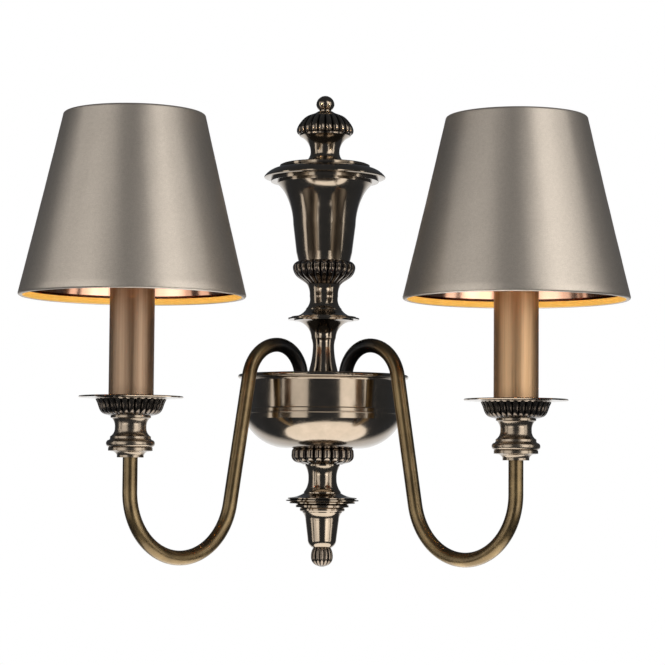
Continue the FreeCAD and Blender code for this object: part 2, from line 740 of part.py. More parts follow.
thick = S["plate_thickness"]
shelfOuter = bandInner - S["shelf_gap"]
shelfInner = shelfOuter - S["shelf_width"]
plateHeight = S["plate_head"] - S["plate_foot"]
plate = box("bracket_plate", -S["plate_half_width"], -thick, S["plate_foot"],
            S["plate_half_width"] * 2, thick, plateHeight)
shelfRing = cylinder("bracket_shelf_disc", shelfOuter, S["shelf_thickness"], 0, axisY, S["shelf_height"])
shelfHole = cylinder("bracket_shelf_hole", shelfInner, S["shelf_thickness"], 0, axisY, S["shelf_height"])
shelfBand = cut("bracket_shelf_band", shelfRing, shelfHole)
shelfFront = box("bracket_shelf_front", -shelfOuter, axisY - shelfOuter * 2, S["shelf_height"],
                 shelfOuter * 2, shelfOuter * 2 - S["ear_half_width"], S["shelf_thickness"])
shelfBack = box("bracket_shelf_back", -shelfOuter, -thick, S["shelf_height"],
                shelfOuter * 2, shelfOuter, S["shelf_thickness"])
shelf = cut("bracket_shelf", shelfBand, fuse("bracket_shelf_trim", [shelfFront, shelfBack]))
earFace = root(bandInner * bandInner - S["ear_half_width"] * S["ear_half_width"]) - S["fit_gap"]
ears = []
for name, start in (("bracket_ear_left", -earFace), ("bracket_ear_right", earFace - thick)):
    ears.append(box(name, start, axisY - S["ear_half_width"], S["shelf_height"],
                    thick, S["ear_half_width"] * 2, S["ear_height"]))
webs = []
for name, start in (("bracket_web_left", -earFace), ("bracket_web_right", earFace - thick * 3)):
    webs.append(box(name, start, axisY - S["ear_half_width"], S["shelf_height"], thick * 3,
                    S["ear_half_width"] * 2, S["shelf_thickness"]))
through = thick * 4
drills = []
for side, name in ((-1, "left"), (1, "right")):
    drills.append(cylinder(f"bracket_screw_hole_{name}", S["screw_hole"], through,
                           side * S["screw_pitch"] / 2, through / 2, 0, outOfWall))
drills.append(cylinder("bracket_cable_hole", S["cable_hole"], through, 0, through / 2, S["cable_hole_height"],
                       outOfWall))
drills.append(cylinder("bracket_ear_holes", S["side_screw_radius"] + S["bore_clearance"], earFace * 2.2,
                       -earFace * 1.1, axisY, S["side_screw_height"], Vector(1, 0, 0)))
earthZ = S["plate_head"] - S["earth_head_radius"] - S["earth_margin"]
drills.append(cylinder("bracket_earth_hole", S["earth_screw_radius"] + S["bore_clearance"], through,
                       S["earth_offset"], through / 2, earthZ, outOfWall))
bracketBlank = fuse("bracket_blank", [plate, shelf] + ears + webs)
bracket = cut("wall_bracket", bracketBlank, fuse("bracket_drills", drills))
keep(bracket)

sideScrews = []
for side, name in ((-1, "left"), (1, "right")):
    outward = Vector(side, 0, 0)
    headBase = S["band_radius"] + S["fit_gap"]
    shankEnd = headBase - S["side_screw_length"]
    shank = cylinder(f"dish_screw_{name}_shank", S["side_screw_radius"], S["side_screw_length"],
                     side * shankEnd, axisY, S["side_screw_height"], outward)
    head = cylinder(f"dish_screw_{name}_head", S["side_screw_head"], S["side_screw_head_height"],
                    side * headBase, axisY, S["side_screw_height"], outward)
    sideScrews.append(fuse(f"dish_screw_{name}", [shank, head]))
keep(group("dish_screws", sideScrews))

blockBase = S["shelf_height"] + S["shelf_thickness"]
blockFront = -(thick + S["block_depth"])
blockBody = box("terminal_block_body", -S["block_width"] / 2, blockFront, blockBase, S["block_width"],
                S["block_depth"], S["block_height"])
wayPitch = S["block_width"] / S["block_ways"]
wells = []
screws = []
blockTop = blockBase + S["block_height"]
for way in range(int(S["block_ways"].value)):
    x = wayPitch * (way + 0.5) - S["block_width"] / 2
    for row, share in (("front", 0.28), ("back", 0.72)):
        y = blockFront + S["block_depth"] * share
        wells.append(cylinder(f"terminal_well_{row}_{way}", S["block_screw_radius"] + S["bore_clearance"],
                              S["block_screw_depth"] * 2, x, y, blockTop - S["block_screw_depth"]))
        screws.append(cylinder(f"terminal_screw_{row}_{way}", S["block_screw_radius"],
                               S["block_screw_depth"] * 0.8, x, y, blockTop - S["block_screw_depth"]))
keep(cut("terminal_block", blockBody, fuse("terminal_wells", wells)))
keep(group("terminal_screws", screws))

washer = S["washer_thickness"]
earthShank = cylinder("earth_shank", S["earth_screw_radius"], thick + washer,
                      S["earth_offset"], -thick / 2, earthZ, outOfWall)
earthHead = cylinder("earth_head", S["earth_head_radius"], S["earth_head_height"],
                     S["earth_offset"], -thick - washer, earthZ, outOfWall)
earthWasher = cylinder("earth_washer", S["earth_head_radius"] + S["washer_overhang"], washer,
                       S["earth_offset"], -thick, earthZ, outOfWall)
keep(fuse("earth_screw", [earthShank, earthHead, earthWasher]))


# ---------------------------------------------------------------- arms

lean = S["arm_lean"]
archX = S["arm_root"] + S["arch_inner"]
archOuter = beadReach + S["rim_gap"] + S["tube_radius"] - archX
archBase = S["arch_top"] - S["arch_inner"]
outerCentre = S["arch_top"] - archOuter
legTopX = archX + archOuter * cosine(lean)
legTopZ = outerCentre + archOuter * sine(lean)
legFootX = legTopX + S["leg_length"] * sine(lean)
legFootZ = legTopZ - S["leg_length"] * cosine(lean)
bowX = legFootX + S["bow_radius"] * cosine(lean)
bowZ = legFootZ + S["bow_radius"] * sine(lean)
bowFoot = bowZ - S["bow_radius"]
reach = bowX + S["bow_radius"]
armTop = bowZ + S["riser_length"]
armPath = [
    (S["arm_root"], S["arm_foot_height"]), (S["arm_root"], archBase, bend(S["arch_inner"], -1)),
    (archX, S["arch_top"], bend(archOuter, -1)), (legTopX, legTopZ),
    (legFootX, legFootZ, bend(S["bow_radius"], 1)), (bowX, bowFoot, bend(S["bow_radius"], 1)),
    (reach, bowZ), (reach, armTop),
]
swing = {"left": 180 + S["arm_splay"], "right": -S["arm_splay"]}


def swanNeck(side):
    """The bent tube of one arm, drawn in its own upright plane and swung to its side."""
    body = newBody(f"arm_{side}")
    path = newSketch(body, f"arm_{side}_path", "XZ_Plane")
    edges = trace(path, armPath, closed=False)
    section = newSketch(body, f"arm_{side}_section", "XY_Plane", S["arm_foot_height"])
    for radius in (S["tube_radius"], S["tube_bore"]):
        ring = section.addGeometry(Part.Circle(Vector(S["arm_root"].value, 0, 0), up, radius.value), False)
        pin(section, ring, 3, S["arm_root"], asSize(0))
        key = section.addConstraint(Sketcher.Constraint("Radius", ring, radius.value))
        section.setExpression(f"Constraints[{key}]", radius.text)
    sweep = body.newObject("PartDesign::AdditivePipe", f"arm_{side}_sweep")
    sweep.Profile = section
    sweep.Spine = (path, [f"Edge{index + 1}" for index in edges])
    sweep.Mode = "Standard"
    body.Placement.Rotation = FreeCAD.Rotation(up, swing[side].value)
    bind(body, "Placement.Rotation.Angle", swing[side])
    place(body, 0, axisY, 0)
    return keep(body)


def armCentreline():
    """The same centreline as edges, in the arm's own upright plane."""
    edges = []
    for x0, z0, x1, z1, radius, way in stretches(armPath, False):
        start = Vector(x0.value, 0, z0.value)
        end = Vector(x1.value, 0, z1.value)
        if radius is None:
            edges.append(Part.LineSegment(start, end).toShape())
            continue
        cx, cz, low, high = arcBetween(x0.value, z0.value, x1.value, z1.value, radius.value, way)
        high = high if high > low else high + 2 * math.pi
        middle = (low + high) / 2
        crest = Vector(cx + radius.value * math.cos(middle), 0, cz + radius.value * math.sin(middle))
        edges.append(Part.Arc(start, crest, end).toShape())
    return edges


armNutParts = []
for side, way in (("left", -1), ("right", 1)):
    swanNeck(side)
    x = way * armX
    y = axisY - armY
    nutBase = lidBase - S["arm_nut_height"]
    blank = hexagon(f"arm_nut_{side}_blank", S["arm_nut_radius"], S["arm_nut_height"], x, y, nutBase)
    core = cylinder(f"arm_nut_{side}_core", holeRadius, S["arm_nut_height"], x, y, nutBase)
    armNutParts.append(cut(f"arm_nut_{side}", blank, core))
    ring = cylinder(f"lock_ring_{side}_blank", S["arm_nut_radius"], S["lock_ring_height"], x, y, lidTop)
    hollow = cylinder(f"lock_ring_{side}_core", holeRadius, S["lock_ring_height"], x, y, lidTop)
    armNutParts.append(cut(f"lock_ring_{side}", ring, hollow))
keep(group("arm_nuts", armNutParts))


# ---------------------------------------------------------------- candles

candleX = reach * cosine(S["arm_splay"])
candleY = axisY - reach * sine(S["arm_splay"])
footZ = armTop - S["arm_seat"]
tubeBore = S["tube_radius"] + S["bore_clearance"]
nestBase = footZ + S["base_height"]
panBase = nestBase + S["nest_height"]
panTop = panBase + S["pan_height"]
sleeveTop = panTop + S["sleeve_height"]
holderTop = sleeveTop - S["holder_inset"]
holderBase = holderTop - S["holder_height"]
stemTop = holderBase + S["holder_seat"]
socketFloor = holderTop - S["socket_depth"]
capBase = socketFloor + S["cap_floor_gap"]
glassBase = capBase + S["cap_height"]
shadeBase = glassBase + S["glass_height"] + S["headroom"] - S["shade_height"]

height = S["base_height"]
step = S["base_step"]
ringRoot = step - S["base_groove"]
shoulder = step - S["base_groove"] * 2
neck = S["base_neck"]
baseOutline = [
    (tubeBore, 0), (S["base_foot"], 0), (S["base_foot"], S["base_plinth"], bulge(-0.1)),
    (mix(S["base_foot"], step, 0.39), height * 0.14), (step, height * 0.16), (step, height * 0.23),
    (ringRoot, height * 0.25, bulge(0.2)), (S["base_ring"], height * 0.335, bulge(0.2)),
    (ringRoot, height * 0.42),
    (shoulder, height * 0.45), (shoulder, height * 0.5, bulge(-0.14)), (neck, height * 0.71, bulge(-0.1)),
    (mix(neck, S["base_head"], 0.62), height * 0.93), (S["base_head"], height * 0.95),
    (S["base_head"], height), (tubeBore, height),
]

height = S["pan_height"]
sheetWall = S["pan_sheet"]
pan = S["pan_radius"]
nest = S["nest_radius"]
flareEnd = nest + S["pan_flare"]
panEdge = pan - S["pan_edge"]
panUnder = height - sheetWall
panOutline = [
    (tubeBore, 0), (nest - S["pan_edge"], 0, bulge(-0.12)), (flareEnd, panUnder), (panEdge, panUnder),
    (pan, height - sheetWall / 2), (panEdge, height), (tubeBore, height),
]

height = S["sleeve_height"]
sleeveInner = S["sleeve_radius"] - S["sleeve_wall"]
sleeveOutline = [
    (sleeveInner, 0), (S["sleeve_radius"], 0), (S["sleeve_radius"], height - S["sleeve_arris"]),
    (S["sleeve_radius"] - S["sleeve_arris"], height), (sleeveInner, height),
]

height = S["holder_height"]
holderOutline = [
    (tubeBore, 0), (S["holder_radius"] * 0.75, 0), (S["holder_radius"], height * 0.16),
    (S["holder_radius"], height - S["holder_arris"]), (S["holder_radius"] - S["holder_arris"], height),
    (S["socket_radius"], height),
    (S["socket_radius"], height - S["socket_depth"]), (S["stem_bore"], height - S["socket_depth"]),
    (S["stem_bore"], S["holder_seat"]), (tubeBore, S["holder_seat"]),
]

height = S["cap_height"]
capRadius = S["socket_radius"] - S["cap_play"]
capOutline = [
    (0, 0), (S["cap_tip"], 0), (mix(S["cap_tip"], capRadius, 0.34), S["cap_tip_height"] * 0.6),
    (capRadius, S["cap_tip_height"]), (capRadius, height), (0, height),
]

height = S["glass_height"]
girth = S["glass_girth"]
girthHeight = S["glass_girth_height"]
glassWall = S["glass_wall"]
glassOutline = [
    (S["glass_neck"] - glassWall, 0), (S["glass_neck"], 0, bulge(0.078)), (girth, girthHeight, bulge(0.08)),
    (S["glass_tip"], height), (0, height), (0, height - glassWall),
    (S["glass_tip"] * 0.5, height - glassWall, bulge(-0.08)), (girth - glassWall, girthHeight, bulge(-0.078)),
]

height = S["shade_height"]
foot = S["shade_foot"]
head = S["shade_head"]
roll = S["roll_radius"]
cloth = S["shade_wall"]
hollowRoll = roll - cloth
tail = S["roll_tail"]
coverOutline = [
    (foot - roll * 2, roll, bend(roll, 1)), (foot - roll, 0, bend(roll, 1)), (foot, roll),
    (head, height - roll, bend(roll, 1)), (head - roll, height, bend(roll, 1)),
    (head - roll * 2, height - roll),
    (head - roll * 2, height - roll - tail), (head - roll * 2 + cloth, height - roll - tail),
    (head - roll * 2 + cloth, height - roll, bend(hollowRoll, -1)),
    (head - roll, height - cloth, bend(hollowRoll, -1)), (head - cloth, height - roll),
    (foot - cloth, roll, bend(hollowRoll, -1)), (foot - roll, cloth, bend(hollowRoll, -1)),
    (foot - roll * 2 + cloth, roll), (foot - roll * 2 + cloth, roll + tail), (foot - roll * 2, roll + tail),
]
taper = (foot - head) / (height - roll * 2)
liningFoot = roll + tail + S["lining_inset"]
liningHead = height - liningFoot
liningLow = foot - cloth - S["lining_gap"] - taper * (liningFoot - roll)
liningHigh = foot - cloth - S["lining_gap"] - taper * (liningHead - roll)
liningOutline = [
    (liningLow - S["lining_wall"], liningFoot), (liningLow, liningFoot),
    (liningHigh, liningHead), (liningHigh - S["lining_wall"], liningHead),
]
wire = hollowRoll - S["clip_gap"]


def ringOf(name, radius, x, y, z):
    item = doc.addObject("Part::Torus", name)
    bind(item, "Radius1", radius)
    bind(item, "Radius2", wire)
    place(item, x, y, z)
    return item


def bulbClip(name, x, y, z):
    """A bar across the upper ring and two wire loops that sit on the bulb."""
    barZ = (S["shade_height"] - roll).value
    barReach = (head - roll * 2 - S["fit_gap"]).value
    clipWire = S["clip_wire"].value
    halfWidth = S["clip_half_width"].value
    girthZ = (glassBase + girthHeight - shadeBase).value
    grip = (girth + S["clip_gap"] + S["clip_wire"]).value
    side = math.sqrt(grip * grip - halfWidth * halfWidth)
    shoulderZ = girthZ + S["clip_shoulder"].value
    neckZ = girthZ + S["clip_shoulder"].value / 3
    lowZ = girthZ - S["clip_drop"].value
    lean = S["clip_lean"].value
    bends = [S[f"clip_{spot}_bend"].value for spot in ("top", "side", "foot")]
    bar = Part.makeCylinder(S["clip_bar"].value, barReach * 2, Vector(-barReach, 0, barZ), Vector(1, 0, 0))
    shape = bar
    for way in (-1, 1):
        half = [Vector(way * halfWidth * 0.6, 0, barZ), Vector(way * (side - lean), -halfWidth, shoulderZ),
                Vector(way * side, -halfWidth, neckZ), Vector(way * side, -halfWidth, lowZ)]
        bottom = Vector(way * (grip + S["clip_toe"].value), 0, lowZ - S["clip_toe_drop"].value)
        mirror = [Vector(point.x, -point.y, point.z) for point in reversed(half)]
        for run, radii in ((half + [bottom], bends), ([bottom] + mirror, bends[::-1])):
            shape = shape.fuse(tube(roundedPath(run, radii), clipWire))
        shape = shape.fuse(Part.makeSphere(clipWire, bottom))
    return feature(name, shape.removeSplitter(), x, y, z)


def leadInArm(name, way, x0):
    """The lead from the terminal block, in a slack dip, then through the arm and stem to the lampholder."""
    swingBy = FreeCAD.Rotation(up, swing[name.split("_")[-1]].value)
    origin = Vector(0, axisY.value, 0)
    along = []
    for edge in armCentreline():
        moved = edge.copy()
        moved.Placement = FreeCAD.Placement(origin, swingBy)
        along.append(moved)
    inArm = along[0].Vertexes[0].Point
    turnRadius = 6 * S["lead_radius"].value     # the tightest bend of a slack lead
    dipDepth = turnRadius * 1.75
    leave = Vector(way * x0, (blockFront - S["fit_gap"]).value, (blockBase + S["block_height"] / 2).value)
    square = leave + outOfWall * turnRadius
    low = inArm.z - dipDepth
    dip = Vector(way * abs(inArm.x) * 0.85, (inArm.y + leave.y * 0.55) / 1.55, low + S["lead_radius"].value)
    corner = Vector(inArm.x, inArm.y, low)
    edges = roundedPath([leave, square, dip, corner, inArm], (turnRadius / 2, turnRadius, turnRadius))
    top = along[-1].Vertexes[-1].Point
    edges = edges + along
    edges.append(Part.LineSegment(top, Vector(top.x, top.y, (stemTop + S["holder_seat"]).value)).toShape())
    item = doc.addObject("Part::Feature", name)
    item.Label = name
    item.Shape = tube(edges, S["lead_radius"].value)
    return keep(item)


leadStart = (S["block_width"] / S["block_ways"]).value
height = S["nest_height"]
reed = S["nest_reed"]
nestReeds = reeded([
    (height * 0, S["nest_foot"], reed * 0.2),
    (height * 0.08, mix(S["nest_foot"], nest, 0.35), reed * 0.5),
    (height * 0.2, mix(S["nest_foot"], nest, 0.58), reed * 0.9),
    (height * 0.38, mix(S["nest_foot"], nest, 0.72), reed),
    (height * 0.65, mix(S["nest_foot"], nest, 0.83), reed),
    (height * 0.85, mix(S["nest_foot"], nest, 0.92), reed * 0.9),
    (height * 1, nest, reed * 0.8),
], S["nest_reeds"])
nestSolid = bored(nestReeds, tubeBore, -past, height.value + past)


def spinAt(name, outline, x, z):
    """A turned piece stood on a candle's axis."""
    item = turn(name, outline)
    place(item, x, candleY, z)
    return keep(item)


for side, way in (("left", -1), ("right", 1)):
    x = way * candleX
    spinAt(f"cup_base_{side}", baseOutline, x, footZ)
    keep(feature(f"gadrooned_nest_{side}", nestSolid, x, candleY, nestBase))
    spinAt(f"drip_pan_{side}", panOutline, x, panBase)
    spinAt(f"candle_sleeve_{side}", sleeveOutline, x, panTop)
    stemBlank = cylinder(f"stem_{side}_blank", S["tube_radius"], stemTop - armTop, x, candleY, armTop)
    stemCore = cylinder(f"stem_{side}_core", S["stem_bore"], stemTop - armTop, x, candleY, armTop)
    keep(cut(f"stem_{side}", stemBlank, stemCore))
    nutBlank = hexagon(f"stem_nut_{side}_blank", S["stem_nut_radius"], S["stem_nut_height"], x, candleY, panTop)
    nutCore = cylinder(f"stem_nut_{side}_core", tubeBore, S["stem_nut_height"], x, candleY, panTop)
    keep(cut(f"stem_nut_{side}", nutBlank, nutCore))
    spinAt(f"lampholder_{side}", holderOutline, x, holderBase)
    spinAt(f"bulb_cap_{side}", capOutline, x, capBase)
    spinAt(f"bulb_glass_{side}", glassOutline, x, glassBase)
    spinAt(f"shade_cover_{side}", coverOutline, x, shadeBase)
    spinAt(f"shade_lining_{side}", liningOutline, x, shadeBase)
    lowRing = ringOf(f"shade_ring_low_{side}", foot - roll, x, candleY, shadeBase + roll)
    highRing = ringOf(f"shade_ring_high_{side}", head - roll, x, candleY, shadeBase + S["shade_height"] - roll)
    keep(group(f"shade_rings_{side}", [lowRing, highRing]))
    keep(bulbClip(f"bulb_clip_{side}", x, candleY, shadeBase))
    leadInArm(f"lead_{side}", way, leadStart)


# ---------------------------------------------------------------- checks and export

doc.recompute()

for item in doc.Objects:
    if "Invalid" in item.State or "Error" in item.State:
        raise RuntimeError(f"{item.Label} failed: {item.State}")
for item in nodes:
    if item.Shape.isNull() or not item.Shape.isValid():
        raise RuntimeError(f"{item.Label} has no valid shape")

os.makedirs("parts", exist_ok=True)
for item in nodes:
    item.Shape.exportStep(f"parts/{item.Label}.step")
    solids = item.Shape.Solids
    print(f"{item.Label}: {len(solids)} solid(s), {item.Shape.Volume / 1000:.2f} cm3")
print(f"{len(nodes)} nodes, candle at x {candleX.value:.2f}, y {candleY.value:.2f}, reach {reach.value:.2f}")
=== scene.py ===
import math

import bmesh
import bpy
from mathutils import Matrix, Vector


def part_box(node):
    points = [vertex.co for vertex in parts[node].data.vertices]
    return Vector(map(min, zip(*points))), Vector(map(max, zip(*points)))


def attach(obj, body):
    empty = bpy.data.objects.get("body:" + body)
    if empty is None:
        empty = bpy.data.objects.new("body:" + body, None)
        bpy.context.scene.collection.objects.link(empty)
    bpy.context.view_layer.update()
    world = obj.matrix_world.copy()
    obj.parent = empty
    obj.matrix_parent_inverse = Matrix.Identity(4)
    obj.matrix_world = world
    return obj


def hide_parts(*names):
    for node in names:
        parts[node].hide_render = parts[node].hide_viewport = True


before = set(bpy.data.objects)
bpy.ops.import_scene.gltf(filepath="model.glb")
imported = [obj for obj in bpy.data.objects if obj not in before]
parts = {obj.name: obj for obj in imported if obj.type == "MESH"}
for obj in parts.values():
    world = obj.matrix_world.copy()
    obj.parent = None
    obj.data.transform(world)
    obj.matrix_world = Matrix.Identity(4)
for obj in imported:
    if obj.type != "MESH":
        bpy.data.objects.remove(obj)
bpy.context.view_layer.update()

sides = ("left", "right")
mm = 0.001
print("frame loaded,", len(parts), "pieces")


def linear(hexColour, alpha=1.0):
    channels = []
    for start in (1, 3, 5):
        value = int(hexColour[start:start + 2], 16) / 255
        channels.append(value / 12.92 if value <= 0.04045 else ((value + 0.055) / 1.055) ** 2.4)
    return (*channels, alpha)


def addNode(tree, kind, settings=None, links=None):
    node = tree.nodes.new(kind)
    for name, value in (settings or {}).items():
        if isinstance(name, int) or name in node.inputs:
            node.inputs[name].default_value = value
        else:
            setattr(node, name, value)
    for socket, source in (links or {}).items():
        tree.links.new(source, node.inputs[socket])
    return node


def newMaterial(name):
    material = bpy.data.materials.new(name)
    material.use_nodes = True
    material.node_tree.nodes.clear()
    return material, material.node_tree


def finishMaterial(tree, shader):
    addNode(tree, "ShaderNodeOutputMaterial", links={"Surface": shader.outputs[0]})


def mottled(tree, place, colours, size, detail=3.0, softness=0.55):
    # soft patches about this many mm across, from the first colour through the last
    noise = addNode(tree, "ShaderNodeTexNoise",
                    {"Scale": 1 / (size * mm), "Detail": detail, "Roughness": softness}, {"Vector": place})
    ramp = addNode(tree, "ShaderNodeValToRGB", links={"Fac": noise.outputs["Fac"]})
    band = ramp.color_ramp
    first, last = 0.36, 0.66   # the stretch of the noise that holds nearly all its values
    band.elements[0].position, band.elements[1].position = first, last
    band.elements[0].color, band.elements[1].color = linear(colours[0]), linear(colours[-1])
    for index, colour in enumerate(colours[1:-1]):
        band.elements.new(first + (last - first) * (index + 1) / (len(colours) - 1)).color = linear(colour)
    return ramp.outputs["Color"], noise.outputs["Fac"]


def between(tree, factor, low, high, fromLow=0.3, fromHigh=0.7):
    # a factor, which a noise keeps mostly from 0.3 to 0.7, spread from low to high
    spread = addNode(tree, "ShaderNodeMapRange",
                     {"From Min": fromLow, "From Max": fromHigh, "To Min": low, "To Max": high},
                     {"Value": factor})
    return spread.outputs["Result"]


def centreOf(node):
    low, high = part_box(node)
    return (low + high) / 2


# dark antique bronze, turned and buffed, then lacquered: a brown so deep that only the lights make it
# shine, a little uneven where the patina was rubbed back, and a thin clear gloss over it
antiqueBronze = {
    "patina": ["#958877", "#9a8c7b", "#9f9180"],
    "patches": 11,             # mm across
    "roughness": (0.12, 0.18),
    "lathe": 0.9,              # mm between turning marks, coarser than real so that they show
    "latheDepth": 0.012,       # mm
    "latheStrength": 0.35,
    "latheStretch": 0.04,      # draws the noise out sideways, so that the marks run round
    "lacquer": 0.35,
    "lacquerRoughness": 0.06,
    "waxAndShade": "#1d1712",          # dark wax in the valleys between reeds, darkened further as painted shade
    "waxAndShadeCover": 0.95,
    "waxAndShadeFrom": (-0.9, 0.1),    # from the valley's bottom at -1 to where the reed is rubbed clean
}


def bronzeFinish(name, look, reeds=0, shift=0, axis=(0, 0)):
    material, tree = newMaterial(name)
    place = addNode(tree, "ShaderNodeTexCoord").outputs["Object"]
    colour, patches = mottled(tree, place, look["patina"], look["patches"])
    if reeds:
        spot = addNode(tree, "ShaderNodeVectorMath", {"operation": "SUBTRACT", 1: (axis[0], axis[1], 0)},
                       {0: place})
        across = addNode(tree, "ShaderNodeSeparateXYZ", links={0: spot.outputs[0]}).outputs
        angle = addNode(tree, "ShaderNodeMath", {"operation": "ARCTAN2"}, {0: across["Y"], 1: across["X"]})
        turns = addNode(tree, "ShaderNodeMath", {"operation": "MULTIPLY_ADD", 1: reeds, 2: shift},
                        {0: angle.outputs[0]})
        crest = addNode(tree, "ShaderNodeMath", {"operation": "COSINE"}, {0: turns.outputs[0]})
        # the valleys between reeds take dark wax and painted shade, darkest at the valley's bottom
        valley = between(tree, crest.outputs[0], look["waxAndShadeCover"], 0.0, *look["waxAndShadeFrom"])
        colour = addNode(tree, "ShaderNodeMix", {"data_type": "RGBA", 7: linear(look["waxAndShade"])},
                         {0: valley, 6: colour}).outputs[2]
    stretch = look["latheStretch"]
    squeezed = addNode(tree, "ShaderNodeMapping", {"Scale": (stretch, stretch, 1.0)}, {"Vector": place})
    marks = addNode(tree, "ShaderNodeTexNoise", {"Scale": 1 / (look["lathe"] * mm), "Detail": 2.0},
                    {"Vector": squeezed.outputs[0]})
    bump = addNode(tree, "ShaderNodeBump",
                   {"Strength": look["latheStrength"], "Distance": look["latheDepth"] * mm},
                   {"Height": marks.outputs["Fac"]})
    shader = addNode(tree, "ShaderNodeBsdfPrincipled",
                     {"Metallic": 1.0, "Coat Weight": look["lacquer"],
                      "Coat Roughness": look["lacquerRoughness"]},
                     {"Base Color": colour, "Roughness": between(tree, patches, *look["roughness"]),
                      "Normal": bump.outputs[0]})
    finishMaterial(tree, shader)
    return material


bronze = bronzeFinish("antique_bronze_turned", antiqueBronze)
# the candle cups are turned too, but only brushed
cupBronze = bronzeFinish("antique_bronze_brushed", {**antiqueBronze, "roughness": (0.22, 0.3)})
# the reeded castings get a darker patina than the turned pieces, and only their crests glint; the nests under
# the drip pans are painted darkest, a painted shade from the pans over them
castBronze = {**antiqueBronze, "patina": ["#7c7063", "#8a7d6f", "#988b7c"], "roughness": (0.16, 0.24)}
nestPaintedShadeBronze = {**castBronze, "patina": ["#5f554a", "#6c6156", "#7a6f62"]}
# how many reeds each casting has, and whether a reed or a valley faces straight right
reedCounts = {"gadrooned_dome": (22, 0), "gadrooned_cup": (24, 0), "gadrooned_collar": (20, math.pi),
              "reeded_ball": (14, math.pi), "gadrooned_nest_left": (30, 0), "gadrooned_nest_right": (30, 0)}
reededBronze = {}
for node, (count, shift) in reedCounts.items():
    middle = centreOf(node)
    look = nestPaintedShadeBronze if "nest" in node else castBronze
    reededBronze[node] = bronzeFinish(f"antique_bronze_cast_{node}", look, count, shift, (middle.x, middle.y))
print("bronze ready")


# antique brass tube, drawn and bent, then browned and satin polished: olive brown that warms to gold
# where the bends catch light
antiqueBrass = {
    "tones": ["#6b5a3e", "#7a6748", "#8a7653"],
    "paintedShade": "#3b3b3c",       # painted shade: the legs next to the column are painted slate dark, for the shade and dark reflections there
    "paintedShadeReach": (0.044, 0.062),   # m from the column's axis, where the dark fades out
    "patches": 16,             # mm across
    "roughness": (0.32, 0.4),
    "lacquer": 0.3,
    "lacquerRoughness": 0.15,
}


def brassTubeFinish(name, look, columnY):
    material, tree = newMaterial(name)
    place = addNode(tree, "ShaderNodeTexCoord").outputs["Object"]
    rubbed, patches = mottled(tree, place, look["tones"], look["patches"])
    level = addNode(tree, "ShaderNodeVectorMath", {"operation": "MULTIPLY", 1: (1, 1, 0)}, {0: place})
    away = addNode(tree, "ShaderNodeVectorMath", {"operation": "DISTANCE", 1: (0, columnY, 0)},
                   {0: level.outputs[0]})
    # painted shade on the legs near the column, fading out with distance from its axis
    paintedShadeMask = between(tree, away.outputs["Value"], 1.0, 0.0, *look["paintedShadeReach"])
    colour = addNode(tree, "ShaderNodeMix", {"data_type": "RGBA", 7: linear(look["paintedShade"])},
                     {0: paintedShadeMask, 6: rubbed})
    shader = addNode(tree, "ShaderNodeBsdfPrincipled",
                     {"Metallic": 1.0, "Coat Weight": look["lacquer"],
                      "Coat Roughness": look["lacquerRoughness"]},
                     {"Base Color": colour.outputs[2],
                      "Roughness": between(tree, patches, *look["roughness"])})
    finishMaterial(tree, shader)
    return material


armBrass = brassTubeFinish("antique_brass_tube", antiqueBrass, centreOf("urn_body").y)
print("brass ready")


# copper bronze tube of the candles, brushed along its length: a soft satin glow with faint upright lines;
# the right one is painted lighter and more golden, a painted warm light from its lit shade
brushedSleeve = {
    "left": ["#93785f", "#a0856b", "#ad9278"],
    # the right tones are painted warm light, lighter and more golden than the left
    "right": ["#b39069", "#c19d75", "#cfaa82"],
    "brush": 0.5,              # mm between brush lines, coarser than real so that they show
    "linesInTone": 4,          # a tone spans this many lines
    "lineStretch": 0.02,       # draws the noise out upright, so that the lines run along the tube
    "lineDepth": 0.015,        # mm
    "lineStrength": 0.3,
    "roughness": (0.44, 0.54),
    "lacquer": 0.5,
    "lacquerRoughness": 0.3,
}


def sleeveFinish(name, tones, look):
    material, tree = newMaterial(name)
    place = addNode(tree, "ShaderNodeTexCoord").outputs["Object"]
    drawn = addNode(tree, "ShaderNodeMapping", {"Scale": (1.0, 1.0, look["lineStretch"])}, {"Vector": place})
    colour, lines = mottled(tree, drawn.outputs[0], tones, look["brush"] * look["linesInTone"])
    hairs = addNode(tree, "ShaderNodeTexNoise", {"Scale": 1 / (look["brush"] * mm), "Detail": 2.0},
                    {"Vector": drawn.outputs[0]})
    bump = addNode(tree, "ShaderNodeBump",
                   {"Strength": look["lineStrength"], "Distance": look["lineDepth"] * mm},
                   {"Height": hairs.outputs["Fac"]})
    shader = addNode(tree, "ShaderNodeBsdfPrincipled",
                     {"Metallic": 1.0, "Coat Weight": look["lacquer"],
                      "Coat Roughness": look["lacquerRoughness"]},
                     {"Base Color": colour, "Roughness": between(tree, lines, *look["roughness"]),
                      "Normal": bump.outputs[0]})
    finishMaterial(tree, shader)
    return material


sleeveMetal = {side: sleeveFinish(f"copper_bronze_brushed_{side}", brushedSleeve[side], brushedSleeve)
               for side in sides}
print("sleeves ready")


